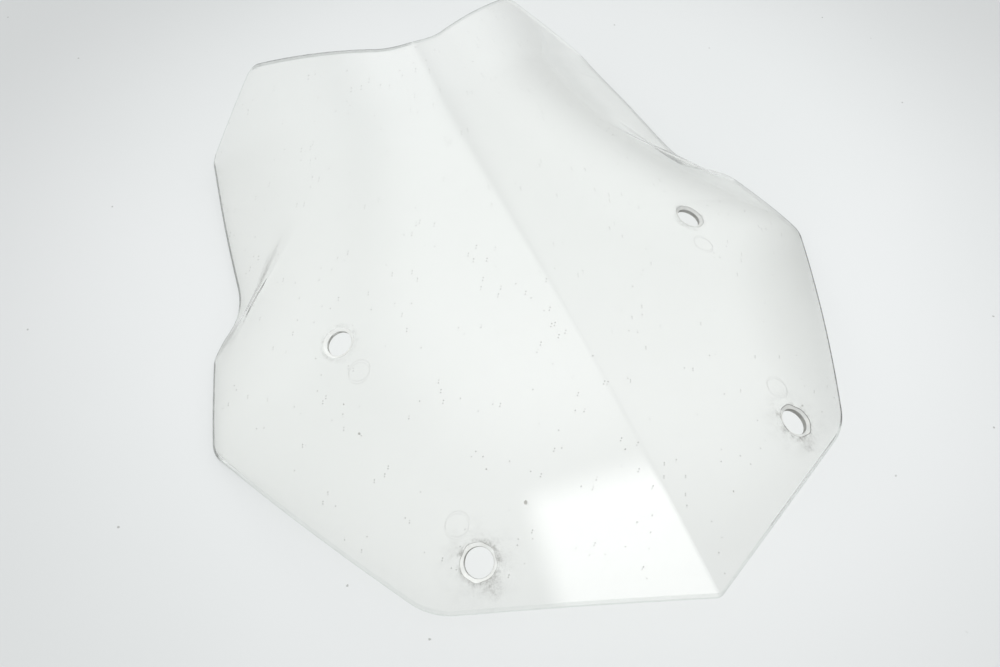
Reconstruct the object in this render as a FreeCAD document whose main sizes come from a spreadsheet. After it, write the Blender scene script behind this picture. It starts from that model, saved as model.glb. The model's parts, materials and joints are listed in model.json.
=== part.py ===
"""Clear windshield screen for an adventure motorcycle.

The screen is one formed sheet of clear plastic with four mounting holes, so the model has one
sub-part. It is made in the order a toolmaker would think of it: the formed sheet, much larger than
the screen, is trimmed by the outline and then bored square to its surface at the four mounting points.

Frame: X runs across the screen and X = 0 is the plane of symmetry. Y runs from the bottom tip to the
top edge. Z points out of the front face, which is the convex one. The origin is at the centre of the
footprint, on the plane that the hollow back rests on.
"""
import FreeCAD
import Part
import Sketcher
import math
import os

doc = FreeCAD.newDocument("windshield_screen")
V = FreeCAD.Vector

# Driving dimensions in millimetres and degrees. Heights along the screen (names ending in _up) are
# measured from the bottom tip, and sideways places (names ending in _out) from the plane of symmetry.
SIZES = [
    ("wall", 3.6),
    ("origin_up", 214.7),
    # Corners of the outline.
    ("tip_round", 5.0),
    ("lower_corner_out", 118.1),
    ("lower_corner_up", 50.8),
    ("lower_corner_round", 40.0),
    ("wide_corner_out", 193.2),
    ("wide_corner_up", 183.0),
    ("wide_corner_round", 14.0),
    ("lower_side_bow", 1600.0),
    ("shoulder_out", 178.7),
    ("shoulder_up", 239.8),
    ("shoulder_round", 10.0),
    ("waist_out", 154.2),
    ("waist_up", 270.0),
    ("waist_round", 45.0),
    ("side_corner_out", 141.5),
    ("side_corner_up", 396.0),
    ("side_corner_round", 10.0),
    ("upper_side_bow", 1400.0),
    ("top_corner_out", 95.6),
    ("top_corner_up", 431.2),
    ("top_corner_round", 9.0),
    ("notch_up", 360.3),
    ("notch_round", 38.0),
    # Ridge line of the front face, seen from the side.
    ("crown_up", 216.0),
    ("crown_height", 69.9),
    ("nose_drop", 20.5),
    ("upper_rise", 0.027),
    # Cross-section of the front face: straight flanks that curl down towards the sides.
    ("flank_slope", 0.225),
    ("lower_curl_radius", 822.0),
    ("upper_curl_radius", 264.0),
    ("curl_start_up", 185.0),
    ("curl_end_up", 396.0),
    ("ridge_sharp_up", 130.0),
    ("ridge_round_top", 14.0),
    # Lip that kicks up along the top edge.
    ("lip_up", 328.0),
    ("lip_sweep", 0.5),
    ("lip_turn", 5.0),
    ("lip_kick", 0.13),
    ("lip_softness", 14.0),
    ("lip_softness_outside", 4.0),
    ("lip_crisp_out", 130.0),
    # Pleat that runs up and inwards from the waist.
    ("pleat_out", 153.0),
    ("pleat_up", 265.0),
    ("pleat_shift", 4.8),
    ("pleat_curve", 0.0012),
    ("pleat_curve_from", 30.0),
    ("pleat_length_in", 65.0),
    ("pleat_length_out", 38.0),
    ("pleat_drop", 6.8),
    ("pleat_width", 8.5),
    ("pleat_spread", 12.0),
    # Mounting holes.
    ("hole_radius", 7.2),
    ("hole_chamfer_width", 1.8),
    ("hole_chamfer_depth", 1.2),
    ("upper_hole_out", 111.0),
    ("upper_hole_up", 200.5),
    ("lower_hole_out", 89.3),
    ("lower_hole_up", 61.5),
    # Length of the prism that trims the sheet, well past it above and below.
    ("trimming_length", 300.0),
]

sheet = doc.addObject("Spreadsheet::Sheet", "Sizes")
for row, (alias, value) in enumerate(SIZES, start=1):
    sheet.set(f"A{row}", alias)
    sheet.set(f"B{row}", str(value))
    sheet.setAlias(f"B{row}", alias)
doc.recompute()


def size(alias):
    """The value of one driving dimension."""
    return float(getattr(sheet, alias))


WALL = size("wall")
ORIGIN_UP = size("origin_up")


# ---------------------------------------------------------------------------------------------
# The formed sheet
# ---------------------------------------------------------------------------------------------
def smooth_step(value):
    """0 below 0, 1 above 1, with a soft start and end."""
    value = min(max(value, 0.0), 1.0)
    return value * value * (3.0 - 2.0 * value)


def ridge_height(up):
    """Height of the ridge line: a falling nose below the crown and a slow rise above it."""
    below = min(up / size("crown_up") - 1.0, 0.0)
    above = max(up - size("crown_up"), 0.0)
    return size("crown_height") - size("nose_drop") * below ** 2 + size("upper_rise") * above


def flank_drop(out, up):
    """Fall of a cross-section from the ridge out to the side."""
    lower = 0.5 / size("lower_curl_radius")
    upper = 0.5 / size("upper_curl_radius")
    blend = smooth_step((up - size("curl_start_up")) / (size("curl_end_up") - size("curl_start_up")))
    fade = (up - size("ridge_sharp_up")) / (size("notch_up") - size("ridge_sharp_up"))
    rounding = size("ridge_round_top") * min(max(fade, 0.0), 1.0)
    flank = size("flank_slope") * (math.hypot(out, rounding) - rounding)
    return flank + (lower + (upper - lower) * blend) * out ** 2


def lip_rise(out, up):
    """Extra height above the lip line, which climbs towards the sides and turns crisper there."""
    sideways = math.hypot(out, size("lip_turn")) - size("lip_turn")
    beyond = up - size("lip_up") - size("lip_sweep") * sideways
    loss = size("lip_softness") - size("lip_softness_outside")
    softness = size("lip_softness") - loss * smooth_step(out / size("lip_crisp_out"))
    return size("lip_kick") * 0.5 * (beyond + math.hypot(beyond, softness))


def pleat_fall(out, up):
    """Drop outside the pleat line, a shallow curve at about 45 degrees that fades out both ways."""
    along = (size("pleat_out") - out + up - size("pleat_up")) * math.sqrt(0.5)
    bend = size("pleat_curve") * (along - size("pleat_curve_from")) ** 2 - size("pleat_shift")
    across = (out - size("pleat_out") + up - size("pleat_up")) * math.sqrt(0.5) - bend
    reach = size("pleat_length_in") if along > 0.0 else size("pleat_length_out")
    travel = smooth_step(abs(along) / reach)
    width = size("pleat_width") + size("pleat_spread") * travel
    return size("pleat_drop") * (1.0 - travel) * smooth_step(across / width + 0.5)


def front_height(out, up):
    """Height of the front face, the same on both sides of the plane of symmetry."""
    return ridge_height(up) - flank_drop(out, up) + lip_rise(out, up) - pleat_fall(out, up)


def slopes(out, up):
    """Slope of the front face across and along the screen."""
    step = 0.5
    across = (front_height(out + step, up) - front_height(out, up)) / step
    along = (front_height(out, up + step) - front_height(out, up - step)) / (2 * step)
    return across, along


def front_normal(out, up):
    """Unit vector square to the front face."""
    across, along = slopes(out, up)
    normal = V(-across, -along, 1.0)
    return normal.normalize()


def back_height(out, up):
    """Height of the back face, one wall thickness behind the front, measured square to it."""
    across, along = slopes(out, up)
    return front_height(out, up) - WALL * math.sqrt(1.0 + across ** 2 + along ** 2)


def smooth_face(height, outs, ups):
    """A smooth surface through the heights over a grid of places."""
    grid = [[V(out, up - ORIGIN_UP, height(out, up)) for up in ups] for out in outs]
    surface = Part.BSplineSurface()
    surface.interpolate(grid)
    return surface.toShape()


def formed_half():
    """Right half of the formed sheet as a closed solid, larger all round than the screen."""
    margin = 14.0
    spacing = 4.0
    reach = size("wide_corner_out") + margin
    top = size("top_corner_up") + margin
    columns = math.ceil(reach / spacing)
    rows = math.ceil((top + margin) / spacing)
    outs = [reach * column / columns for column in range(columns + 1)]
    ups = [-margin + (top + margin) * row / rows for row in range(rows + 1)]
    front = smooth_face(front_height, outs, ups)
    back = smooth_face(back_height, outs, ups)
    sides = [Part.makeRuledSurface(*pair) for pair in matching_edges(front, back)]
    return Part.makeSolid(Part.makeShell([front, back] + sides))


def matching_edges(front, back):
    """Pairs of boundary edges of the two faces that lie above each other."""
    pairs = []
    for edge in front.Edges:
        middle = edge.CenterOfMass
        below = min(back.Edges, key=lambda other: flat_distance(other.CenterOfMass, middle))
        pairs.append((edge, below))
    return pairs


def flat_distance(one, other):
    """Distance between two points seen from the front."""
    return math.hypot(one.x - other.x, one.y - other.y)


formed_sheet = doc.addObject("Part::Feature", "formed_sheet")
right_half = formed_half()
left_half = right_half.mirror(V(0, 0, 0), V(1, 0, 0))
formed_sheet.Shape = right_half.fuse(left_half)

# ---------------------------------------------------------------------------------------------
# The outline
# ---------------------------------------------------------------------------------------------
# Corners going up the right side, by the stem of their size names.
SIDE_CORNERS = ["lower_corner", "wide_corner", "shoulder", "waist", "side_corner", "top_corner"]
# Sides that bow gently outwards, by the corner at their upper end.
BOWED_SIDES = {"wide_corner": "lower_side_bow", "side_corner": "upper_side_bow"}
# Counter-clockwise round the outline: (corner, side), where side is 1 right, -1 left and 0 middle.
RING = [("tip", 0)] + [(name, 1) for name in SIDE_CORNERS]
RING += [("notch", 0)] + [(name, -1) for name in reversed(SIDE_CORNERS)]


def corner_point(corner):
    """Place of an outline corner in the sketch, before it is rounded."""
    name, side = corner
    if name == "tip":
        return V(0, -ORIGIN_UP, 0)
    if name == "notch":
        return V(0, size("notch_up") - ORIGIN_UP, 0)
    return V(side * size(name + "_out"), size(name + "_up") - ORIGIN_UP, 0)


def bow_of(start, end):
    """Name of the radius of a bowed side, or None where the side is straight."""
    if start[1] != end[1]:
        return None
    upper = end[0] if start[1] > 0 else start[0]
    return BOWED_SIDES.get(upper)


def side_curve(start, end):
    """Line or gentle outward arc between two corners."""
    first, last = corner_point(start), corner_point(end)
    bow = bow_of(start, end)
    if bow is None:
        return Part.LineSegment(first, last)
    chord = last - first
    outward = V(chord.y, -chord.x, 0).normalize()
    rise = size(bow) - math.sqrt(size(bow) ** 2 - (chord.Length / 2) ** 2)
    return Part.Arc(first, (first + last) * 0.5 + outward * rise, last)


outline = doc.addObject("PartDesign::Body", "outline")
sketch = outline.newObject("Sketcher::SketchObject", "outline_sketch")
ground = next(plane for plane in outline.Origin.OriginFeatures if plane.Role == "XY_Plane")
sketch.AttachmentSupport = (ground, [""])
sketch.MapMode = "FlatFace"
V_AXIS = -2
START, END = 1, 2
for start, end in zip(RING, RING[1:] + RING[:1]):
    sketch.addGeometry(side_curve(start, end), False)


def bind(index, name, expression):
    """Names a constraint and binds it to the sheet."""
    sketch.renameConstraint(index, name)
    sketch.setExpression(f"Constraints.{name}", expression)


count = len(RING)
for index in range(count):
    sketch.addConstraint(Sketcher.Constraint("Coincident", index, END, (index + 1) % count, START))
for index, corner in enumerate(RING):
    name, side = corner
    place = corner_point(corner)
    if side == -1:
        sketch.addConstraint(Sketcher.Constraint("Symmetric", count - index, START, index, START, V_AXIS))
        continue
    upward = sketch.addConstraint(Sketcher.Constraint("DistanceY", -1, 1, index, START, place.y))
    rise = "0" if name == "tip" else f"Sizes.{name}_up"
    bind(upward, f"{name}_up", f"{rise} - Sizes.origin_up")
    if side == 0:
        sketch.addConstraint(Sketcher.Constraint("PointOnObject", index, START, V_AXIS))
        continue
    outward = sketch.addConstraint(Sketcher.Constraint("DistanceX", -1, 1, index, START, place.x))
    bind(outward, f"{name}_out", f"Sizes.{name}_out")
for index, (start, end) in enumerate(zip(RING, RING[1:] + RING[:1])):
    bow = bow_of(start, end)
    if bow is not None:
        radius = sketch.addConstraint(Sketcher.Constraint("Radius", index, size(bow)))
        bind(radius, f"{bow}_{'right' if start[1] > 0 else 'left'}", f"Sizes.{bow}")
doc.recompute()

prism = outline.newObject("PartDesign::Pad", "outline_prism")
prism.Profile = sketch
prism.Midplane = True
prism.setExpression("Length", "Sizes.trimming_length")
doc.recompute()


def upright_edge(shape, point):
    """Name of the upright edge of the prism at a corner."""
    for number, edge in enumerate(shape.Edges, start=1):
        ends = [vertex.Point for vertex in edge.Vertexes]
        upright = len(ends) == 2 and abs(ends[0].z - ends[1].z) > 1.0
        if upright and flat_distance(ends[0], point) < 0.01:
            return f"Edge{number}"
    raise ValueError("no upright edge at a corner of the outline")


# Corners are rounded one kind at a time, each with its own radius.
rounded = prism
for name in ["tip", "notch"] + SIDE_CORNERS:
    corners = [corner_point(corner) for corner in RING if corner[0] == name]
    fillet = outline.newObject("PartDesign::Fillet", f"{name}_rounding")
    fillet.Base = (rounded, [upright_edge(rounded.Shape, point) for point in corners])
    fillet.Radius = size(f"{name}_round")
    fillet.setExpression("Radius", f"Sizes.{name}_round")
    doc.recompute()
    rounded = fillet
outline.Tip = rounded
doc.recompute()

trimmed = doc.addObject("Part::Common", "trimmed_sheet")
trimmed.Base = formed_sheet
trimmed.Tool = outline

# ---------------------------------------------------------------------------------------------
# The mounting holes
# ---------------------------------------------------------------------------------------------
def hole_cutters(name, side):
    """Drill and chamfer cutter of one hole, square to the front face."""
    out, up = size(f"{name}_out"), size(f"{name}_up")
    normal = front_normal(out, up)
    axis = V(side * normal.x, normal.y, normal.z)
    place = V(side * out, up - ORIGIN_UP, front_height(out, up))
    turn = FreeCAD.Rotation(V(0, 0, 1), axis)
    hand = "right" if side > 0 else "left"
    drill = doc.addObject("Part::Cylinder", f"{name}_drill_{hand}")
    drill.setExpression("Radius", "Sizes.hole_radius")
    drill.setExpression("Height", "Sizes.wall * 4")
    drill.Placement = FreeCAD.Placement(place - axis * WALL * 2, turn)
    chamfer = doc.addObject("Part::Cone", f"{name}_chamfer_{hand}")
    chamfer.setExpression("Radius1", "Sizes.hole_radius")
    chamfer.setExpression("Radius2", "Sizes.hole_radius + 2 * Sizes.hole_chamfer_width")
    chamfer.setExpression("Height", "2 * Sizes.hole_chamfer_depth")
    chamfer.Placement = FreeCAD.Placement(place - axis * size("hole_chamfer_depth"), turn)
    return [drill, chamfer]


cutters = doc.addObject("Part::MultiFuse", "hole_cutters")
cutters.Shapes = [cutter for name in ("upper_hole", "lower_hole") for side in (1, -1)
                  for cutter in hole_cutters(name, side)]

screen = doc.addObject("Part::Cut", "windshield_screen")
screen.Label = "windshield_screen"
screen.Base = trimmed
screen.Tool = cutters
screen.Placement = FreeCAD.Placement(V(0, 0, 0), FreeCAD.Rotation())
doc.recompute()

# ---------------------------------------------------------------------------------------------
# Checks and files
# ---------------------------------------------------------------------------------------------
for item in doc.Objects:
    if {"Invalid", "Error"} & set(item.State):
        raise RuntimeError(f"{item.Name} did not rebuild: {item.State}")

SUB_PARTS = [screen]
os.makedirs("parts", exist_ok=True)
for sub_part in SUB_PARTS:
    shape = sub_part.Shape
    if shape.isNull() or not shape.isValid() or len(shape.Solids) != 1:
        raise RuntimeError(f"{sub_part.Label} is not one valid solid")
    shape.exportStep(f"parts/{sub_part.Label}.step")
    points = shape.tessellate(0.1)[0]
    spans = [(min(values), max(values)) for values in zip(*points)]
    print(sub_part.Label, " ".join(f"{low:.2f} to {high:.2f}," for low, high in spans), f"{shape.Volume / 1000:.1f} cm3")
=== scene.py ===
"""Looks of a clear motorcycle windshield screen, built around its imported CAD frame."""
import bpy
import json
import math
import random
import numpy as np
from mathutils import Matrix, Vector
from mathutils.geometry import delaunay_2d_cdt


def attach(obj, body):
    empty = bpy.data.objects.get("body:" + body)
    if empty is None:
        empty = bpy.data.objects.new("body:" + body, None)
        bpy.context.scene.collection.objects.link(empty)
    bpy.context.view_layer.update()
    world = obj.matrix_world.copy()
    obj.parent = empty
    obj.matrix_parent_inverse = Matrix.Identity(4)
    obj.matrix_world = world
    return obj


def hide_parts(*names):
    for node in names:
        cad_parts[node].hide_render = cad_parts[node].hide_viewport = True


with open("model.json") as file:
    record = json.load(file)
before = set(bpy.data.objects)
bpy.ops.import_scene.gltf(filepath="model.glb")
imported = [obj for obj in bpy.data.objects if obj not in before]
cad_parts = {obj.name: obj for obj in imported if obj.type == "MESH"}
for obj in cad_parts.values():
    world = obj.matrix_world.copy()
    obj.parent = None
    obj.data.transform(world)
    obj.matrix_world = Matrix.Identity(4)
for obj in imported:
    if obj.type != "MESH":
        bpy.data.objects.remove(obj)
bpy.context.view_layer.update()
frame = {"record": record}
chance = random.Random(7)

# Millimetres, as in the CAD part: "up" is measured from the bottom tip, "out" from the symmetry plane.
MM = 0.001
WALL = 3.6
ORIGIN_UP = 214.7
HOLE_RADIUS = 7.2
HOLE_STEPS = 72
CHAMFER_WIDTH = 1.8

# Rounding of the trimmed edge at the front and at the back.
FRONT_ROUND = 1.5
BACK_ROUND = 0.8

# Middle of each pleat, its lengths towards the ridge and the edge, its width and depth there, and its bow.
PLEAT_OUT = 153.0
PLEAT_UP = 265.0
PLEAT_LENGTH_IN = 65.0
PLEAT_LENGTH_OUT = 38.0
PLEAT_WIDTH = 8.5
PLEAT_DROP = 6.8
PLEAT_BOW = 0.0012
PLEAT_BOW_MIDDLE = 30.0
PLEAT_BOW_OFFSET = 4.8
SLANT = math.sqrt(0.5)

# Marks of the ejector pins on the right half.
PIN_RADIUS = 5.8
PINS = [(106.3, 178.7 - ORIGIN_UP), (91.2, 81.7 - ORIGIN_UP)]

# Spacing of the mesh over the open sheet, and of the points along the outline.
GRID = 2.4
OUTLINE_SPACING = 1.8

# Outline corners of the right half, bottom to top: (out, up, rounding radius, bow of the side below).
CORNERS = [
    (0.0, 0.0, 5.0, None),
    (118.1, 50.8, 40.0, None),
    (193.2, 183.0, 14.0, 1600.0),
    (178.7, 239.8, 10.0, None),
    (154.2, 270.0, 45.0, None),
    (141.5, 396.0, 10.0, 1400.0),
    (95.6, 431.2, 9.0, None),
    (0.0, 360.3, 38.0, None),
]


# ---------------------------------------------------------------------------------------------
# Shape of the sheet
# ---------------------------------------------------------------------------------------------
def smooth_step(value):
    value = np.clip(value, 0.0, 1.0)
    return value * value * (3.0 - 2.0 * value)


def ridge_height(up):
    below = np.minimum(up / 216.0 - 1.0, 0.0)
    above = np.maximum(up - 216.0, 0.0)
    return 69.9 - 20.5 * below ** 2 + 0.027 * above


def flank_drop(out, up):
    blend = smooth_step((up - 185.0) / (396.0 - 185.0))
    lower, upper = 0.5 / 822.0, 0.5 / 264.0
    rounding = np.maximum(14.0 * np.clip((up - 130.0) / (360.3 - 130.0), 0.0, 1.0), 0.7)
    flank = 0.225 * (np.hypot(out, rounding) - rounding)
    return flank + (lower + (upper - lower) * blend) * out ** 2


def lip_rise(out, up):
    beyond = up - 328.0 - 0.5 * (np.hypot(out, 5.0) - 5.0)
    softness = 14.0 - 10.0 * smooth_step(out / 130.0)
    return 0.13 * 0.5 * (beyond + np.hypot(beyond, softness))


def pleat_bend(along):
    """How far the pleat line lies off a straight 45-degree line through the pleat's middle."""
    return PLEAT_BOW * (along - PLEAT_BOW_MIDDLE) ** 2 - PLEAT_BOW_OFFSET


def by_pleat(out, up):
    """Places along the pleat line and across it."""
    along = (PLEAT_OUT - out + up - PLEAT_UP) * SLANT
    return along, (out - PLEAT_OUT + up - PLEAT_UP) * SLANT - pleat_bend(along)


def pleat_fall(out, up):
    along, across = by_pleat(out, up)
    reach = np.where(along > 0.0, PLEAT_LENGTH_IN, PLEAT_LENGTH_OUT)
    travel = smooth_step(np.abs(along) / reach)
    width = PLEAT_WIDTH + 12.0 * travel
    return PLEAT_DROP * (1.0 - travel) * smooth_step(across / width + 0.5)


def front_height(x, y):
    out, up = np.abs(x), y + ORIGIN_UP
    return ridge_height(up) - flank_drop(out, up) + lip_rise(out, up) - pleat_fall(out, up)


def front_normals(x, y):
    step = 0.2
    across = (front_height(x + step, y) - front_height(x - step, y)) / (2 * step)
    along = (front_height(x, y + step) - front_height(x, y - step)) / (2 * step)
    length = np.sqrt(1.0 + across ** 2 + along ** 2)
    return np.stack([-across / length, -along / length, 1.0 / length], axis=-1)


def front_points(plan):
    """Points of the front face above places in plan."""
    return np.column_stack([plan, front_height(plan[:, 0], plan[:, 1])])


def back_points(plan):
    """Points of the back face below places in plan, with shallow rings left by the ejector pins."""
    x, y = plan[:, 0], plan[:, 1]
    depth = np.zeros(len(plan))
    for pin_x, pin_y in PINS:
        radius = np.hypot(x - pin_x, y - pin_y)
        groove = 1.0 - smooth_step(np.abs(radius - PIN_RADIUS) / 0.5)
        within = 1.0 - smooth_step((radius - PIN_RADIUS) / 0.4 + 1.0)
        depth = np.maximum(depth, 0.05 * groove + 0.03 * within)
    thickness = WALL / front_normals(x, y)[:, 2]
    return np.column_stack([plan, front_height(x, y) - thickness + depth])


# ---------------------------------------------------------------------------------------------
# Outline and plan triangulation of the right half
# ---------------------------------------------------------------------------------------------
def side_path(start, end, bow):
    """Dense path between two corners, bowed outwards where the side has a bow radius."""
    start, end = np.array(start), np.array(end)
    chord = end - start
    length = np.hypot(*chord)
    outward = np.array([chord[1], -chord[0]]) / length
    rise = 0.0 if bow is None else length ** 2 / (8.0 * bow)
    share = np.linspace(0.0, 1.0, int(length / 0.25) + 1)[:, None]
    return start + chord * share + outward * rise * 4.0 * share * (1.0 - share)


def rounded_corner(before, after, radius):
    """Cuts two paths back from their shared corner and joins them with an arc."""
    heading = before[-1] - before[-2]
    leaving = after[1] - after[0]
    turn = abs(math.atan2(heading[0] * leaving[1] - heading[1] * leaving[0], heading @ leaving))
    reach = radius * math.tan(turn / 2.0)
    step_in = np.hypot(*heading)
    step_out = np.hypot(*leaving)
    before = before[:len(before) - int(reach / step_in)]
    after = after[int(reach / step_out):]
    first, last = before[-1], after[0]
    heading = before[-1] - before[-2]
    leaving = after[1] - after[0]
    across = heading[0] * leaving[1] - heading[1] * leaving[0]
    gap = last - first
    corner = first + heading * (gap[0] * leaving[1] - gap[1] * leaving[0]) / across
    weight = math.cos(turn / 2.0)
    count = max(5, int(math.degrees(turn) / 6.0), int(radius * turn / 1.6))
    share = np.linspace(0.0, 1.0, count + 1)[1:-1, None]
    upper = (1 - share) ** 2 * first + 2 * share * (1 - share) * weight * corner + share ** 2 * last
    lower = (1 - share) ** 2 + 2 * share * (1 - share) * weight + share ** 2
    return before, upper / lower, after


def evenly(path, spacing):
    """A path at about this spacing, its ends kept."""
    run = np.concatenate([[0.0], np.cumsum(np.hypot(*np.diff(path, axis=0).T))])
    count = max(1, round(run[-1] / spacing))
    wanted = np.linspace(0.0, run[-1], count + 1)
    return np.column_stack([np.interp(wanted, run, path[:, axis]) for axis in (0, 1)])


def outline():
    """Right half of the outline from the tip up to the notch, and the inward direction at each point."""
    mirrored = [(-CORNERS[1][0], *CORNERS[1][1:])] + CORNERS + [(-CORNERS[-2][0], *CORNERS[-2][1:])]
    places = [(out, up - ORIGIN_UP) for out, up, _, _ in mirrored]
    bows = [None] + [corner[3] for corner in CORNERS] + [None]
    sides = [side_path(*pair, bow) for pair, bow in zip(zip(places, places[1:]), bows[1:])]
    pieces = []
    for index, corner in enumerate(CORNERS):
        sides[index], arc, sides[index + 1] = rounded_corner(sides[index], sides[index + 1], corner[2])
        pieces.append(arc)
    path = []
    for index, arc in enumerate(pieces):
        path.append(arc)
        if index + 1 < len(pieces):
            path.append(evenly(sides[index + 1], OUTLINE_SPACING))
    path = np.concatenate(path)
    ahead = np.roll(path, -1, axis=0) - np.roll(path, 1, axis=0)
    ahead[0], ahead[-1] = path[1] - path[0], path[-1] - path[-2]
    inward = np.column_stack([-ahead[:, 1], ahead[:, 0]]) / np.hypot(*ahead.T)[:, None]
    return half_of(path, inward)


def half_of(path, inward):
    """Keeps the part with X above 0 and closes it with points on the symmetry plane."""
    kept = path[:, 0] > 0.15
    first, last = np.argmax(kept), len(kept) - np.argmax(kept[::-1]) - 1
    tip = crossing(path[first - 1], path[first])
    notch = crossing(path[last], path[last + 1])
    ring = np.concatenate([[tip], path[first:last + 1], [notch]])
    normals = np.concatenate([[[0.0, 1.0]], inward[first:last + 1], [[0.0, -1.0]]])
    return ring, normals


def crossing(one, other):
    share = one[0] / (one[0] - other[0])
    return np.array([0.0, one[1] + (other[1] - one[1]) * share])


def inside(points, ring):
    """True for each point inside a closed ring."""
    result = np.zeros(len(points), bool)
    x, y = points[:, 0], points[:, 1]
    for (x1, y1), (x2, y2) in zip(ring, np.roll(ring, -1, axis=0)):
        if y1 == y2:
            continue
        crossed = (y1 > y) != (y2 > y)
        result ^= crossed & (x < (x2 - x1) * (y - y1) / (y2 - y1) + x1)
    return result


def clear_of(points, rings, gap):
    """True for each point further than gap from every point of the rings, sampled densely."""
    near = np.zeros(len(points), bool)
    for ring in rings:
        dense = np.concatenate([ring, (ring + np.roll(ring, -1, axis=0)) / 2])
        for start in range(0, len(dense), 64):
            part = dense[start:start + 64]
            off_x = points[:, None, 0] - part[None, :, 0]
            off_y = points[:, None, 1] - part[None, :, 1]
            near |= (off_x ** 2 + off_y ** 2 < gap * gap).any(axis=1)
    return ~near


def spread_points(extra):
    """Places that fill the right half: an even grid, finer along the ridge and round the pleat."""
    ups = np.arange(-4.0, 440.0, GRID)
    outs = (0.3, 0.65, 1.05, 1.6, *np.arange(GRID, 198.0, GRID))
    grid = np.array([(out, up) for out in outs for up in ups])
    along, across = by_pleat(grid[:, 0], grid[:, 1])
    grid = grid[(np.abs(across) > 13.0) | (np.abs(along) > 79.0)]
    mesh = np.meshgrid(np.arange(-78.0, 79.0, 1.1), np.arange(-12.0, 12.5, 0.5))
    along, across = [values.ravel() for values in mesh]
    level = across + pleat_bend(along)
    fine = np.column_stack([PLEAT_OUT + (level - along) * SLANT, PLEAT_UP + (level + along) * SLANT])
    points = np.concatenate([grid, fine]) - [0.0, ORIGIN_UP]
    if len(extra):
        points = points[clear_of(points, [extra], 0.7)]
        points = np.concatenate([points, extra])
    return points


def triangles(border, holes, extra):
    """Plan triangulation of the right half between the border ring and the hole rings."""
    ridge = evenly(np.array([border[-1], border[0]]), GRID)[1:-1]
    rim = np.concatenate([border, ridge])
    points = spread_points(extra)
    points = points[inside(points, rim)]
    for hole in holes:
        points = points[~inside(points, hole)]
    points = points[clear_of(points, [border] + holes, 0.75)]
    plan = np.concatenate([rim] + holes + [points])
    edges, start = [], 0
    for ring in [rim] + holes:
        count = len(ring)
        edges += [(start + index, start + (index + 1) % count) for index in range(count)]
        start += count
    result = delaunay_2d_cdt([Vector(place) for place in plan], edges, [], 0, 1e-5)
    verts, faces, sources = result[0], result[2], result[3]
    if any(len(source) != 1 for source in sources):
        raise RuntimeError("the plan triangulation added or merged points")
    faces = np.array([[sources[vertex][0] for vertex in face] for face in faces])
    middles = plan[faces].mean(axis=1)
    kept = inside(middles, rim)
    for hole in holes:
        kept &= ~inside(middles, hole)
    return plan, faces[kept], len(border)


# ---------------------------------------------------------------------------------------------
# Mounting holes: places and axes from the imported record
# ---------------------------------------------------------------------------------------------
def mount_frames():
    """Centre, axis and two directions across it of the holes on the right side, in millimetres."""
    found = {}
    for mount in frame["record"]["mounts"]:
        centre = np.array(mount["pos_m"]) / MM
        if centre[0] > 0:
            axis = np.array(mount["axis"])
            across = np.cross([0.0, 1.0, 0.0], axis)
            across /= np.hypot(*across[[0, 2]])
            found[mount["name"]] = (centre, axis, across, np.cross(axis, across))
    return found


def hole_ring(place, radii, depth):
    """A ring round a hole axis, this deep below the front face, one radius for each direction."""
    centre, axis, across, upward = place
    turn = np.linspace(0.0, 2 * math.pi, HOLE_STEPS, endpoint=False)
    ring = centre + radii[:, None] * (np.cos(turn)[:, None] * across + np.sin(turn)[:, None] * upward)
    for _ in range(4):
        lift = (front_height(ring[:, 0], ring[:, 1]) - ring[:, 2]) / axis[2]
        ring = ring + lift[:, None] * axis
    return ring - axis * depth


def worn_edge(wear):
    """Outer radius of a chamfer for each direction: round, or slightly ragged where the hole is worn."""
    turn = np.linspace(0.0, 2 * math.pi, HOLE_STEPS, endpoint=False)
    radii = np.full(HOLE_STEPS, HOLE_RADIUS + CHAMFER_WIDTH)
    for waves in (2, 3, 5, 8):
        radii += 0.14 * wear * np.sin(waves * turn + chance.uniform(0, 6.28))
    return radii


# ---------------------------------------------------------------------------------------------
# The mesh
# ---------------------------------------------------------------------------------------------
# Material slots of the sheet.
CLEAR, EDGE, BORE, CHAMFER = range(4)


class Shell:
    """Collects points with how dull they are, a value that also carries painted shade on the trimmed edge
    and the bores, and faces with their material slots.
    """

    def __init__(self):
        self.points, self.faces, self.slots, self.normals = [], [], [], []
        self.dullness, self.left_dullness = [], []
        self.total = 0

    def add(self, points, normals=None, dull=0.0, left_dull=None):
        start = self.total
        self.points.append(points)
        self.normals.append(np.zeros_like(points) if normals is None else normals)
        self.dullness.append(np.broadcast_to(dull, len(points)))
        self.left_dullness.append(np.broadcast_to(dull if left_dull is None else left_dull, len(points)))
        self.total += len(points)
        return np.arange(start, self.total)

    def fill(self, faces, slot):
        self.faces += faces
        self.slots += [slot] * len(faces)

    def strip(self, one, other, closed, slot):
        """Quads between two rows of points with the same count."""
        count = len(one) if closed else len(one) - 1
        around = [(index, (index + 1) % len(one)) for index in range(count)]
        quads = [(one[index], one[after], other[after], other[index]) for index, after in around]
        self.fill(quads, slot)


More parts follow.
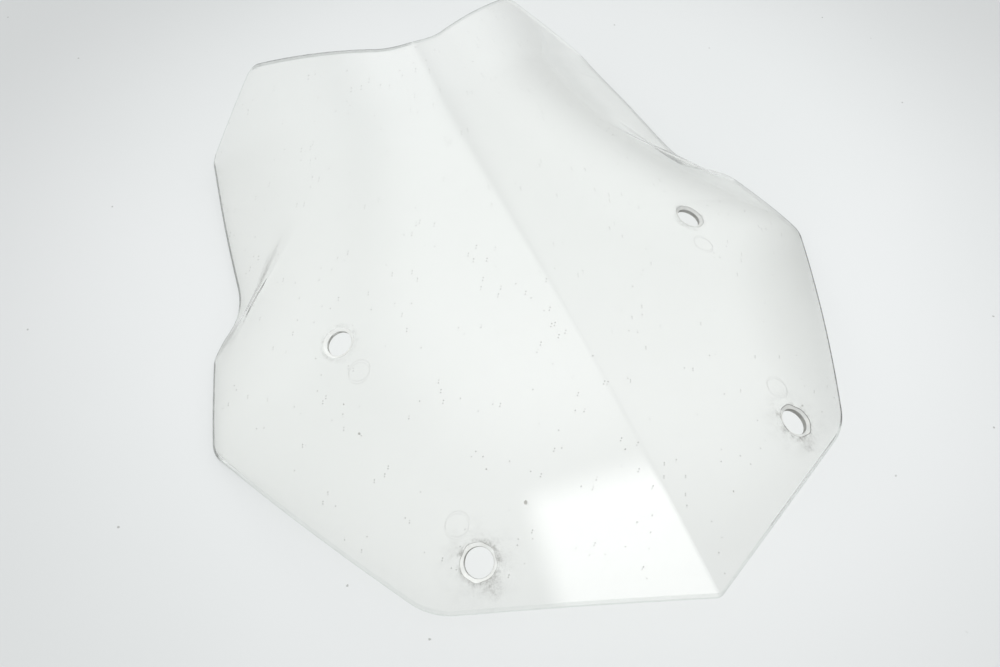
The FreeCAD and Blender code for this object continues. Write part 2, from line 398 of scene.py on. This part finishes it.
def right_half():
    shell = Shell()
    ring, inward = outline()
    fronts, backs, bores = [], [], []
    for name, place in mount_frames().items():
        wear = 1.0 if "lower" in name else 0.25
        outer = worn_edge(wear)
        bore = np.full(HOLE_STEPS, HOLE_RADIUS)
        first, last = hole_ring(place, outer + 0.22, 0.0), hole_ring(place, bore + 0.4, WALL)
        # The lower holes' rim rows take the grey bore film, painted shade for their dark outlines; the
        # upper holes' rows take the pale chamfer film.
        rim, rim_film_and_shade, foot = (BORE, 0.85, 0.8) if wear > 0.5 else (CHAMFER, 0.75, 0.9)
        rows = [
            (hole_ring(place, outer + 0.06, 0.05), rim, rim_film_and_shade),
            (hole_ring(place, outer - 0.12, 0.18), rim, rim_film_and_shade),
        ]
        for share in (0.6, 0.3):
            radii = bore + (outer - HOLE_RADIUS) * share
            rows.append((hole_ring(place, radii, 1.2 - share), CHAMFER, 0.85))
        rows.append((hole_ring(place, bore + 0.14, 1.08), CHAMFER, 0.85))
        rows.append((hole_ring(place, bore, 1.3), rim, rim_film_and_shade + 0.1))
        for depth in (1.9, 2.5, WALL - 0.42):
            rows.append((hole_ring(place, bore, depth), BORE, 0.95))
        rows.append((hole_ring(place, bore + 0.05, WALL - 0.22), rim, foot))
        rows.append((hole_ring(place, bore + 0.18, WALL - 0.07), rim, foot))
        bores.append(rows)
        fronts.append(first[:, :2])
        backs.append(last[:, :2])

    faces_of = {}
    for face, round_edge, holes, lift in (
        ("front", FRONT_ROUND, fronts, front_points),
        ("back", BACK_ROUND, backs, back_points),
    ):
        border = ring + inward * round_edge
        border[[0, -1], 0] = 0.0
        extra = pin_places() if face == "back" else np.zeros((0, 2))
        plan, faces, rim_count = triangles(border, holes, extra)
        normals = front_normals(plan[:, 0], plan[:, 1])
        if face == "back":
            normals = -normals
            near_pin = np.zeros(len(plan), bool)
            for pin_x, pin_y in PINS:
                near_pin |= np.hypot(plan[:, 0] - pin_x, plan[:, 1] - pin_y) < PIN_RADIUS + 1.5
            normals[near_pin] = 0.0
        points = shell.add(lift(plan), normals)
        facing = signed_areas(plan, faces) > 0
        upright = np.where(facing[:, None], faces, faces[:, ::-1])
        turned = upright if face == "front" else upright[:, ::-1]
        shell.fill([tuple(points[corners]) for corners in turned], CLEAR)
        faces_of[face] = (points, rim_count, hole_rows(points, rim_count, border, holes))

    rim_rows(shell, ring, inward, faces_of)
    for number, rows in enumerate(bores):
        previous = faces_of["front"][2][number]
        for row, slot, dull in rows:
            current = shell.add(row, dull=dull)
            shell.strip(previous, current, True, slot)
            previous = current
        shell.strip(previous, faces_of["back"][2][number], True, EDGE)
    return shell


def hole_rows(points, rim_count, border, holes):
    """Indices of the hole rings in the points of one face."""
    start = rim_count + len(evenly(np.array([border[-1], border[0]]), GRID)) - 2
    rows = []
    for hole in holes:
        rows.append(points[start:start + len(hole)])
        start += len(hole)
    return rows


def edge_dullness(inward):
    """Painted shade on the trimmed edge along the right and the left side: how much grey film covers it,
    more where the edge looks dark.
    """
    facing_side = smooth_step((np.abs(inward[:, 0]) - 0.90) / 0.04)
    low_side = smooth_step((-inward[:, 0] - 0.6) / 0.15) * smooth_step((inward[:, 1] - 0.2) / 0.2)
    notch = smooth_step((-inward[:, 1] - 0.7) / 0.1) * (inward[:, 0] > 0.0)
    waist = smooth_step((-inward[:, 0] - 0.65) / 0.05) * smooth_step((-inward[:, 1] - 0.5) / 0.1)
    right = 0.1 + 0.8 * facing_side + 0.56 * low_side + 0.1 * notch + 0.3 * waist
    left = 0.07 + 0.33 * facing_side + 0.3 * notch + 0.2 * waist
    return np.minimum(right, 0.95), left


def rim_rows(shell, ring, inward, faces_of):
    """The rounded edge of the sheet between the two faces."""
    front, back = faces_of["front"], faces_of["back"]
    previous = front[0][:front[1]]
    dull, left_dull = edge_dullness(inward)
    for round_edge, lift, sign, angles in (
        (FRONT_ROUND, front_points, -1.0, (9, 28, 48, 69, 90)),
        (BACK_ROUND, back_points, 1.0, (90, 67, 45, 22)),
    ):
        for angle in angles:
            bend = math.radians(angle)
            row_plan = ring + inward * round_edge * (1.0 - math.sin(bend))
            row_plan[[0, -1], 0] = 0.0
            row = lift(row_plan)
            row[:, 2] += sign * round_edge * (1.0 - math.cos(bend))
            current = shell.add(row, dull=dull, left_dull=left_dull)
            shell.strip(current, previous, False, EDGE)
            previous = current
    shell.strip(back[0][:back[1]], previous, False, EDGE)


def pin_places():
    """Rings of places that carry the ejector marks."""
    places = []
    turn = np.linspace(0.0, 2 * math.pi, 44, endpoint=False)
    for pin_x, pin_y in PINS:
        for offset in (-1.4, -0.75, -0.5, -0.25, 0.0, 0.25, 0.5, 0.9):
            radius = PIN_RADIUS + offset
            places.append(np.column_stack([pin_x + radius * np.cos(turn), pin_y + radius * np.sin(turn)]))
    return np.concatenate(places)


def signed_areas(plan, faces):
    a, b, c = plan[faces[:, 0]], plan[faces[:, 1]], plan[faces[:, 2]]
    return (b[:, 0] - a[:, 0]) * (c[:, 1] - a[:, 1]) - (b[:, 1] - a[:, 1]) * (c[:, 0] - a[:, 0])


def whole_sheet():
    """Both halves joined along the symmetry plane, as one closed mesh."""
    shell = right_half()
    points = np.concatenate(shell.points)
    normals = np.concatenate(shell.normals)
    seam = np.abs(points[:, 0]) < 1e-6
    twin = np.arange(len(points))
    twin[~seam] = len(points) + np.arange((~seam).sum())
    mirrored = points[~seam] * [-1.0, 1.0, 1.0]
    mirrored_normals = normals[~seam] * [-1.0, 1.0, 1.0]
    dullness = np.concatenate(shell.dullness)
    faces = shell.faces + [tuple(twin[vertex] for vertex in reversed(face)) for face in shell.faces]
    mesh = bpy.data.meshes.new("clear_screen")
    places = np.concatenate([points, mirrored]) * MM
    mesh.from_pydata(places.tolist(), [], [list(map(int, face)) for face in faces])
    mesh.validate()
    mesh.polygons.foreach_set("use_smooth", [True] * len(mesh.polygons))
    dullness = np.concatenate([dullness, np.concatenate(shell.left_dullness)[~seam]])
    mesh.attributes.new("dull", "FLOAT", "POINT").data.foreach_set("value", dullness)
    mesh.polygons.foreach_set("material_index", shell.slots + shell.slots)
    known = np.concatenate([normals, mirrored_normals])
    current = np.zeros(len(mesh.vertices) * 3)
    mesh.vertex_normals.foreach_get("vector", current)
    current = current.reshape(-1, 3)
    unknown = np.abs(known).sum(axis=1) < 0.1
    known[unknown] = current[unknown]
    mesh.normals_split_custom_set_from_vertices(known.tolist())
    screen = bpy.data.objects.new("clear_screen", mesh)
    bpy.context.scene.collection.objects.link(screen)
    return screen


# ---------------------------------------------------------------------------------------------
# Materials
# ---------------------------------------------------------------------------------------------
class Nodes:
    """Short ways to add nodes to a tree."""

    def __init__(self, tree):
        self.tree = tree
        tree.nodes.clear()

    def add(self, kind, settings=None, **inputs):
        node = self.tree.nodes.new(kind)
        for name, value in (settings or {}).items():
            setattr(node, name, value)
        for name, value in inputs.items():
            self.feed(node.inputs[name.replace("_", " ")], value)
        return node

    def feed(self, socket, value):
        if isinstance(value, bpy.types.NodeSocket):
            self.tree.links.new(value, socket)
        else:
            socket.default_value = value

    def math(self, operation, one, other=0.0, clamp=False):
        node = self.tree.nodes.new("ShaderNodeMath")
        node.operation, node.use_clamp = operation, clamp
        self.feed(node.inputs[0], one)
        self.feed(node.inputs[1], other)
        return node.outputs[0]

    def ramp(self, value, low, high, to_low=0.0, to_high=1.0):
        node = self.add("ShaderNodeMapRange", {"interpolation_type": "SMOOTHSTEP", "clamp": True})
        amounts = {"Value": value, "From Min": low, "From Max": high, "To Min": to_low, "To Max": to_high}
        for name, amount in amounts.items():
            self.feed(node.inputs[name], amount)
        return node.outputs["Result"]

    def noise(self, place, scale, detail=2.0, roughness=0.5):
        node = self.add("ShaderNodeTexNoise", Vector=place, Scale=scale, Detail=detail, Roughness=roughness)
        return node.outputs["Fac"]

    def distance(self, place, centre):
        node = self.add("ShaderNodeVectorMath", {"operation": "DISTANCE"})
        self.feed(node.inputs[0], place)
        self.feed(node.inputs[1], centre)
        return node.outputs["Value"]

    def dot(self, one, other):
        node = self.add("ShaderNodeVectorMath", {"operation": "DOT_PRODUCT"})
        self.feed(node.inputs[0], one)
        self.feed(node.inputs[1], other)
        return node.outputs["Value"]


def clear_plastic():
    material = bpy.data.materials.new("clear_plastic")
    material.use_nodes = True
    nodes = Nodes(material.node_tree)
    place = nodes.add("ShaderNodeTexCoord").outputs["Object"]

    grime = hole_grime(nodes, place)
    film = nodes.ramp(nodes.noise(place, 14.0, 5.0, 0.62), 0.44, 0.78)
    cells = nodes.add("ShaderNodeTexVoronoi", {"voronoi_dimensions": "2D"}, Vector=place, Scale=110.0)
    dust = nodes.ramp(cells.outputs["Distance"], 0.055, 0.03)
    dust = nodes.math("MULTIPLY", dust, nodes.ramp(nodes.noise(place, 60.0, 2.0), 0.54, 0.60))
    specks = nodes.math("MAXIMUM", crumbs(nodes, place), pin_rings(nodes, place))
    stain_and_shade = nodes.math("MAXIMUM", nodes.math("MAXIMUM", grime, nodes.math("MULTIPLY", dust, 0.55)), specks)
    # The pleat band added here is painted shade, not dirt.
    stain_and_shade = nodes.math("MAXIMUM", stain_and_shade, pleat_painted_shade(nodes, place))

    tint = nodes.add("ShaderNodeMix", {"data_type": "RGBA"})
    nodes.feed(tint.inputs["Factor"], nodes.math("MULTIPLY", film, 0.035))
    nodes.feed(tint.inputs["A"], (0.942, 0.946, 0.930, 1.0))
    nodes.feed(tint.inputs["B"], (0.80, 0.79, 0.76, 1.0))
    # Darkens the plastic towards dirt brown: real dirt and dust, and the painted shade along the pleats.
    soiled_and_shaded = nodes.add("ShaderNodeMix", {"data_type": "RGBA"})
    nodes.feed(soiled_and_shaded.inputs["Factor"], stain_and_shade)
    nodes.feed(soiled_and_shaded.inputs["A"], tint.outputs["Result"])
    nodes.feed(soiled_and_shaded.inputs["B"], (0.13, 0.11, 0.09, 1.0))

    brushed = nodes.add("ShaderNodeMapping", Vector=place, Rotation=(0.0, 0.0, 0.5), Scale=(1.0, 30.0, 1.0))
    scratches = nodes.add("ShaderNodeTexNoise", Vector=brushed.outputs[0], Scale=40.0, Detail=4.0)
    scuffed = nodes.ramp(scratches.outputs["Fac"], 0.60, 0.78)
    rough = nodes.math("ADD", nodes.math("MULTIPLY", film, 0.02), nodes.math("MULTIPLY", scuffed, 0.03))
    rough = nodes.math("ADD", nodes.math("MULTIPLY", stain_and_shade, 0.30), rough)
    rough = nodes.math("ADD", rough, 0.012, clamp=True)

    waves = nodes.noise(place, 9.0, 1.0)
    bump = nodes.add("ShaderNodeBump", Strength=1.0, Distance=0.00012, Height=waves)

    plastic = nodes.add(
        "ShaderNodeBsdfPrincipled", Base_Color=soiled_and_shaded.outputs["Result"], Roughness=rough,
        Normal=bump.outputs[0])
    plastic.inputs["Transmission Weight"].default_value = 1.0
    plastic.inputs["IOR"].default_value = 1.53

    # Lamps and the light off the floor pass straight through, less what the faces mirror.
    grazing = nodes.add("ShaderNodeLayerWeight", Blend=0.5).outputs["Facing"]
    mirrored = nodes.math("MULTIPLY", nodes.math("POWER", grazing, 5.0), 0.4)
    passing = nodes.add("ShaderNodeMix", {"data_type": "RGBA"})
    nodes.feed(passing.inputs["Factor"], mirrored)
    nodes.feed(passing.inputs["A"], (1.0, 1.0, 0.995, 1.0))
    nodes.feed(passing.inputs["B"], (0.0, 0.0, 0.0, 1.0))
    open_air = nodes.add("ShaderNodeBsdfTransparent", Color=passing.outputs["Result"])
    path = nodes.add("ShaderNodeLightPath")
    fill = nodes.math("MAXIMUM", path.outputs["Is Shadow Ray"], path.outputs["Is Diffuse Ray"])
    surface = nodes.add("ShaderNodeMixShader")
    nodes.feed(surface.inputs[0], fill)
    nodes.feed(surface.inputs[1], plastic.outputs[0])
    nodes.feed(surface.inputs[2], open_air.outputs[0])
    nodes.add("ShaderNodeOutputMaterial", Surface=surface.outputs[0])
    return material


def worked_surface(name, light, dark, shade):
    """Edge of the sheet, or a surface of a hole: clear, with a film of fine tool marks. On the trimmed edge
    the film's grey is painted shade, on the bore walls partly so.
    """
    material = bpy.data.materials.new(name)
    material.use_nodes = True
    nodes = Nodes(material.node_tree)
    place = nodes.add("ShaderNodeTexCoord").outputs["Object"]
    marks = nodes.ramp(nodes.noise(place, 260.0, 4.0, 0.6), 0.35, 0.7)
    colour = nodes.add("ShaderNodeMix", {"data_type": "RGBA"})
    nodes.feed(colour.inputs["Factor"], marks)
    nodes.feed(colour.inputs["A"], (*light, 1.0))
    nodes.feed(colour.inputs["B"], (*dark, 1.0))
    bump = nodes.add("ShaderNodeBump", Strength=0.4, Distance=0.0001, Height=marks)
    rough = nodes.ramp(marks, 0.0, 1.0, 0.25, 0.4)
    film = nodes.add(
        "ShaderNodeBsdfPrincipled", Base_Color=colour.outputs["Result"], Roughness=rough,
        Normal=bump.outputs[0])
    film.inputs["Specular IOR Level"].default_value = 0.0
    clear = nodes.add("ShaderNodeBsdfTransparent", Color=(0.97, 0.98, 0.97, 1.0))
    dull = nodes.add("ShaderNodeAttribute", {"attribute_name": "dull"}).outputs["Fac"]
    dull = nodes.math("MULTIPLY", dull, nodes.ramp(marks, 0.0, 1.0, 0.8, 1.0))
    path = nodes.add("ShaderNodeLightPath")
    fill = nodes.math("MAXIMUM", path.outputs["Is Shadow Ray"], path.outputs["Is Diffuse Ray"])
    surface = nodes.add("ShaderNodeMixShader")
    seen = nodes.math("MULTIPLY", dull, nodes.ramp(fill, 0.0, 1.0, 1.0, 0.4))
    nodes.feed(surface.inputs[0], nodes.math("MAXIMUM", seen, nodes.math("MULTIPLY", fill, shade)))
    nodes.feed(surface.inputs[1], clear.outputs[0])
    nodes.feed(surface.inputs[2], film.outputs[0])
    nodes.add("ShaderNodeOutputMaterial", Surface=surface.outputs[0])
    return material


def hole_grime(nodes, place):
    """Road dirt that gathers round the holes, most at the lower pair."""
    speckle = nodes.ramp(nodes.noise(place, 520.0, 6.0, 0.75), 0.42, 0.62)
    clouds = nodes.ramp(nodes.noise(place, 150.0, 4.0, 0.6), 0.40, 0.62)
    total = 0.0
    for mount in frame["record"]["mounts"]:
        centre = Vector(mount["pos_m"])
        lower = "lower" in mount["name"]
        ring = nodes.ramp(nodes.distance(place, centre), 0.0092, 0.0125, 0.9 if lower else 0.4, 0.0)
        dirty = nodes.math("MULTIPLY", ring, clouds)
        if lower:
            # Dirt that ran down from the hole and dried below it.
            below = nodes.distance(place, centre + Vector((0.001, -0.0125, 0.0)))
            patch = nodes.ramp(below, 0.001, 0.0085, 0.6, 0.0)
            patch = nodes.math("MULTIPLY", patch, nodes.math("ADD", clouds, 0.25, clamp=True))
            dirty = nodes.math("MAXIMUM", dirty, patch)
            haze = nodes.ramp(nodes.distance(place, centre), 0.009, 0.026, 0.16, 0.0)
            dirty = nodes.math("MAXIMUM", dirty, nodes.math("MULTIPLY", haze, clouds))
        dirty = nodes.math("MULTIPLY", dirty, nodes.math("ADD", nodes.math("MULTIPLY", speckle, 0.7), 0.3))
        total = dirty if total == 0.0 else nodes.math("MAXIMUM", total, dirty)
    return total


# Larger crumbs stuck to the front face: (out to the right, up, radius).
CRUMBS = [
    (-59.0, 75.0, 1.2), (-120.0, 166.0, 0.7), (-118.0, 147.0, 0.9), (-8.0, 75.0, 0.7), (43.0, 157.0, 0.6),
    (32.0, 39.0, 0.7), (-15.0, 37.0, 0.6), (-69.0, 98.0, 0.6), (33.0, 349.0, 0.7), (-44.0, 254.0, 0.6),
]


def crumbs(nodes, place):
    ragged = nodes.math("MULTIPLY", nodes.noise(place, 900.0, 2.0), 0.0012)
    total = 0.0
    for out, up, radius in CRUMBS:
        height = float(front_height(np.array(out), np.array(up - ORIGIN_UP)))
        away = nodes.distance(place, Vector((out, up - ORIGIN_UP, height)) * MM)
        spot = nodes.ramp(nodes.math("ADD", away, ragged), radius * MM, radius * MM + 0.0006, 0.9, 0.0)
        total = spot if total == 0.0 else nodes.math("MAXIMUM", total, spot)
    return total


def pleat_painted_shade(nodes, place):
    """Painted shade: a dark band mixed into the plastic's colour along each pleat crease, where the fold
    looks dark.
    """
    apart = nodes.add("ShaderNodeSeparateXYZ", Vector=place)
    out, up = nodes.math("ABSOLUTE", apart.outputs["X"]), apart.outputs["Y"]
    start = (PLEAT_OUT - PLEAT_UP + ORIGIN_UP) * MM
    level = (PLEAT_OUT + PLEAT_UP - ORIGIN_UP) * MM
    along = nodes.math("MULTIPLY", nodes.math("ADD", nodes.math("SUBTRACT", up, out), start), SLANT)
    across = nodes.math("MULTIPLY", nodes.math("SUBTRACT", nodes.math("ADD", up, out), level), SLANT)
    off_middle = nodes.math("ABSOLUTE", nodes.math("SUBTRACT", along, PLEAT_BOW_MIDDLE * MM))
    bow = nodes.math("MULTIPLY", nodes.math("POWER", off_middle, 2.0), PLEAT_BOW / MM)
    across = nodes.math("SUBTRACT", across, nodes.math("SUBTRACT", bow, PLEAT_BOW_OFFSET * MM))
    band = nodes.ramp(nodes.math("ABSOLUTE", across), 0.0005, 0.0032, 0.32, 0.0)
    return nodes.math("MULTIPLY", band, nodes.ramp(nodes.math("ABSOLUTE", along), 0.015, 0.05, 1.0, 0.0))


def pin_rings(nodes, place):
    """Faint darker rings round the places where the ejector pins pressed."""
    apart = nodes.add("ShaderNodeSeparateXYZ", Vector=place)
    out = nodes.math("ABSOLUTE", apart.outputs["X"])
    level = nodes.add("ShaderNodeCombineXYZ", X=out, Y=apart.outputs["Y"])
    patchy = nodes.ramp(nodes.noise(place, 200.0, 2.0), 0.3, 0.6, 0.03, 0.13)
    total = 0.0
    for pin_x, pin_y in PINS:
        away = nodes.distance(level.outputs[0], Vector((pin_x, pin_y, 0.0)) * MM)
        off = nodes.math("ABSOLUTE", nodes.math("SUBTRACT", away, PIN_RADIUS * MM))
        total = nodes.math("MAXIMUM", total, nodes.ramp(off, 0.0002, 0.0006, 1.0, 0.0))
    return nodes.math("MULTIPLY", total, patchy)


def pale_floor():
    material = bpy.data.materials.new("pale_floor")
    material.use_nodes = True
    nodes = Nodes(material.node_tree)
    place = nodes.add("ShaderNodeTexCoord").outputs["Object"]
    mottle = nodes.noise(place, 3.0, 3.0)
    colour = nodes.add("ShaderNodeMix", {"data_type": "RGBA"})
    nodes.feed(colour.inputs["Factor"], nodes.ramp(mottle, 0.3, 0.7))
    nodes.feed(colour.inputs["A"], (0.79, 0.805, 0.805, 1.0))
    nodes.feed(colour.inputs["B"], (0.81, 0.82, 0.823, 1.0))
    # Painted light falloff: the floor's colour darkens away from a point near the screen, standing in for
    # the lamps' pool of light.
    away = nodes.distance(place, Vector((0.06, 0.065, 0.0)))
    painted_light_falloff = nodes.add("ShaderNodeMix", {"data_type": "RGBA"})
    nodes.feed(painted_light_falloff.inputs["Factor"], nodes.ramp(away, 0.19, 0.45, 0.0, 0.205))
    cells = nodes.add("ShaderNodeTexVoronoi", {"voronoi_dimensions": "2D"}, Vector=place, Scale=24.0)
    ragged = nodes.math("MULTIPLY", nodes.noise(place, 700.0), 0.03)
    speck = nodes.ramp(nodes.math("ADD", cells.outputs["Distance"], ragged), 0.024, 0.034, 0.55, 0.0)
    speck = nodes.math("MULTIPLY", speck, nodes.ramp(nodes.noise(place, 19.0), 0.58, 0.62))
    dusty = nodes.add("ShaderNodeMix", {"data_type": "RGBA"})
    nodes.feed(dusty.inputs["Factor"], speck)
    nodes.feed(dusty.inputs["A"], colour.outputs["Result"])
    nodes.feed(dusty.inputs["B"], (0.22, 0.21, 0.19, 1.0))
    nodes.feed(painted_light_falloff.inputs["A"], dusty.outputs["Result"])
    nodes.feed(painted_light_falloff.inputs["B"], (0.0, 0.0, 0.0, 1.0))
    surface = nodes.add("ShaderNodeBsdfPrincipled", Base_Color=painted_light_falloff.outputs["Result"])
    surface.inputs["Roughness"].default_value = 0.6
    surface.inputs["Specular IOR Level"].default_value = 0.2
    nodes.add("ShaderNodeOutputMaterial", Surface=surface.outputs[0])
    return material


# ---------------------------------------------------------------------------------------------
# Studio
# ---------------------------------------------------------------------------------------------
def studio_floor():
    size = 5.0
    mesh = bpy.data.meshes.new("floor")
    corners = [(-size, -size, 0), (size, -size, 0), (size, size, 0), (-size, size, 0)]
    mesh.from_pydata(corners, [], [(0, 1, 2, 3)])
    floor = bpy.data.objects.new("floor", mesh)
    bpy.context.scene.collection.objects.link(floor)
    mesh.materials.append(pale_floor())


def heading(azimuth, elevation):
    """Unit direction; azimuth 0 is +Y and grows towards +X."""
    turn, rise = math.radians(azimuth), math.radians(elevation)
    return Vector((math.sin(turn) * math.cos(rise), math.cos(turn) * math.cos(rise), math.sin(rise)))


def studio_sky():
    """Soft surroundings: dimmer at the horizon than overhead, with five glows and one dark patch."""
    world = bpy.data.worlds.new("studio")
    bpy.context.scene.world = world
    world.use_nodes = True
    nodes = Nodes(world.node_tree)
    towards = nodes.add("ShaderNodeTexCoord").outputs["Generated"]
    rise = nodes.dot(towards, Vector((0.0, 0.0, 1.0)))
    light = nodes.ramp(rise, 0.0, 0.75, 0.45, 0.63)
    for azimuth, elevation, near, far, amount in (
        (-10, 62, 0.985, 0.89, 0.86), (-28, 60, 0.95, 0.69, 0.40), (62, 32, 0.985, 0.85, 0.76),
        (-45, 12, 0.97, 0.80, 0.38), (50, 8, 0.985, 0.93, 0.12), (82, 8, 0.99, 0.955, -0.52),
    ):
        along = nodes.dot(towards, heading(azimuth, elevation))
        light = nodes.math("ADD", light, nodes.ramp(along, far, near, 0.0, amount))
    background = nodes.add("ShaderNodeBackground", Color=(0.985, 1.0, 1.0, 1.0), Strength=light)
    nodes.add("ShaderNodeOutputWorld", Surface=background.outputs[0])


def softbox():
    """Large soft lamp over the screen."""
    lamp = bpy.data.lights.new("softbox", "AREA")
    lamp.shape = "RECTANGLE"
    lamp.size, lamp.size_y = 1.02, 0.98
    lamp.energy = 6.7
    lamp.use_nodes = True
    nodes = Nodes(lamp.node_tree)
    spot = nodes.add("ShaderNodeNewGeometry").outputs["Parametric"]
    across = nodes.add("ShaderNodeSeparateXYZ", Vector=spot)
    edge = 1.0
    for axis in ("X", "Y"):
        middle = nodes.math("ABSOLUTE", nodes.math("SUBTRACT", across.outputs[axis], 0.5))
        edge = nodes.math("MULTIPLY", nodes.ramp(middle, 0.5, 0.37), edge)
    glow = nodes.add("ShaderNodeEmission", Color=(1.0, 1.0, 1.0, 1.0), Strength=edge)
    nodes.add("ShaderNodeOutputLight", Surface=glow.outputs[0])
    holder = bpy.data.objects.new("softbox", lamp)
    bpy.context.scene.collection.objects.link(holder)
    # Its far left corner and the turn of its sides, as the reflection in the left flank needs them.
    corner = Vector((-0.59, 0.045, 1.3))
    turn = math.radians(-12.0)
    along = Vector((math.cos(turn), math.sin(turn), 0.0))
    down = Vector((math.sin(turn), -math.cos(turn), 0.0))
    holder.location = corner + along * lamp.size / 2 + down * lamp.size_y / 2
    holder.rotation_euler = (0.0, 0.0, turn)


def photo_camera():
    camera = bpy.data.cameras.new("camera")
    camera.lens, camera.sensor_width = 28.44, 36.0
    holder = bpy.data.objects.new("camera", camera)
    bpy.context.scene.collection.objects.link(holder)
    place = Matrix.Translation((-0.12954, -0.25547, 0.39917))
    turn = Matrix.Rotation(math.radians(-25.51), 4, "Z") @ Matrix.Rotation(math.radians(32.92), 4, "X")
    roll = Matrix.Rotation(math.radians(1.28), 4, "Z")
    holder.matrix_world = place @ turn @ roll
    bpy.context.scene.camera = holder


screen = whole_sheet()
screen.data.materials.append(clear_plastic())
# The trimmed edge's grey film is painted shade: the dark lines along the sheet's edge.
screen.data.materials.append(worked_surface("trimmed_edge", (0.24, 0.24, 0.24), (0.16, 0.16, 0.16), 0.3))
# The bore walls' grey is partly painted shade, for the dark crescents inside the holes.
screen.data.materials.append(worked_surface("bored_wall", (0.50, 0.50, 0.48), (0.30, 0.30, 0.28), 0.0))
pale, grey = (0.95, 0.96, 0.94), (0.82, 0.82, 0.79)
screen.data.materials.append(worked_surface("chamfered_edge", pale, grey, 0.0))
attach(screen, "root")
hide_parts("windshield_screen")
studio_floor()
studio_sky()
softbox()
photo_camera()
bpy.context.scene.view_settings.view_transform = "Standard"
